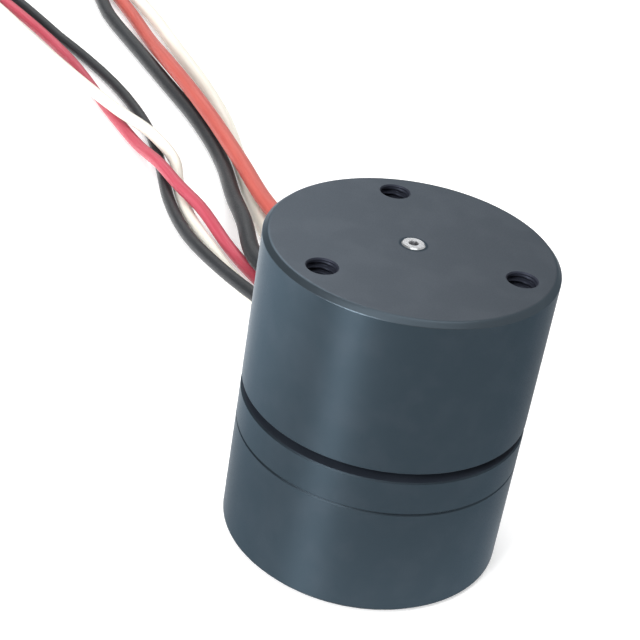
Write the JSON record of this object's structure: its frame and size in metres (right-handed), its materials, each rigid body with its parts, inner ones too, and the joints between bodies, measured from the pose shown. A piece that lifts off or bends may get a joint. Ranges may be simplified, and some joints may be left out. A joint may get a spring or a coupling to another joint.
{
  "type": "gimbal motor",
  "caption": "Small brushless gimbal motor with a smooth dark bell, threaded output holes, a rear encoder housing and two rows of silicone leads with plugs.",
  "frame": {"origin": "centre of the motor's round mounting face, on the surface it stands on", "axes": "+Z along the shaft from the mounting face to the output face, +Y out of the grommet where the leads leave, +X to the right of someone who faces +Y"},
  "size_m": [0.0908, 0.1501, 0.0291],
  "materials": {
    "anodised_shell": "satin dark blue-grey anodising",
    "polished_steel": "ground and polished",
    "dull_steel": "plain oiled steel",
    "magnet_plating": "dull nickel plating",
    "laminations": "varnished electrical steel",
    "copper_wire": "enamelled copper",
    "brass": "machined or gold-flashed",
    "light_nylon": "matt moulded",
    "dark_nylon": "matt moulded",
    "circuit_board": "gloss solder mask",
    "grommet_rubber": "matt",
    "red_silicone": "smooth silicone",
    "white_silicone": "smooth silicone",
    "black_silicone": "smooth silicone"
  },
  "bodies": {
    "stator": {"stator_base": "anodised_shell", "stator_core": "laminations", "upper_insulator": "light_nylon", "lower_insulator": "light_nylon", "winding_phase_a": "copper_wire", "winding_phase_b": "copper_wire", "winding_phase_c": "copper_wire", "upper_bearing_outer_race": "polished_steel", "upper_bearing_shields": "dull_steel", "lower_bearing_outer_race": "polished_steel", "lower_bearing_shields": "dull_steel", "rear_housing": "anodised_shell", "housing_screws": "dull_steel", "encoder_board": "circuit_board", "encoder_chip": "dark_nylon", "board_components": "light_nylon", "board_screws": "polished_steel", "lead_grommet": "grommet_rubber", "phase_lead_tails": "black_silicone", "sensor_lead_tails": "black_silicone", "phase_lead_red": "red_silicone", "phase_lead_white": "white_silicone", "phase_lead_black": "black_silicone", "sensor_lead_red": "red_silicone", "sensor_lead_white": "white_silicone", "sensor_lead_black": "black_silicone", "phase_plug": "dark_nylon", "phase_plug_contacts": "brass", "sensor_plug": "light_nylon", "sensor_plug_contacts": "brass"},
    "rotor": {"rotor_bell": "anodised_shell", "flux_ring": "dull_steel", "rotor_magnets": "magnet_plating", "motor_shaft": "polished_steel", "shaft_shim": "polished_steel", "upper_bearing_inner_race": "polished_steel", "lower_bearing_inner_race": "polished_steel", "spring_washer": "dull_steel", "retaining_clip": "dull_steel", "magnet_holder": "brass", "encoder_magnet": "magnet_plating"},
    "upper_ball_set": {"upper_bearing_balls": "polished_steel", "upper_bearing_cage": "brass"},
    "lower_ball_set": {"lower_bearing_balls": "polished_steel", "lower_bearing_cage": "brass"}
  },
  "joints": [
    {"name": "rotor_spin", "type": "hinge", "parent": "stator", "child": "rotor", "pos_m": [0, 0, 0.029], "axis": [0, 0, 1], "continuous": true},
    {"name": "upper_ball_orbit", "type": "hinge", "parent": "stator", "child": "upper_ball_set", "pos_m": [0, 0, 0.02275], "axis": [0, 0, 1], "continuous": true},
    {"name": "lower_ball_orbit", "type": "hinge", "parent": "stator", "child": "lower_ball_set", "pos_m": [0, 0, 0.01255], "axis": [0, 0, 1], "continuous": true}
  ],
  "couplings": [
    {"joint": "upper_ball_orbit", "follows": "rotor_spin", "ratio": 0.386},
    {"joint": "lower_ball_orbit", "follows": "rotor_spin", "ratio": 0.386}
  ]
}
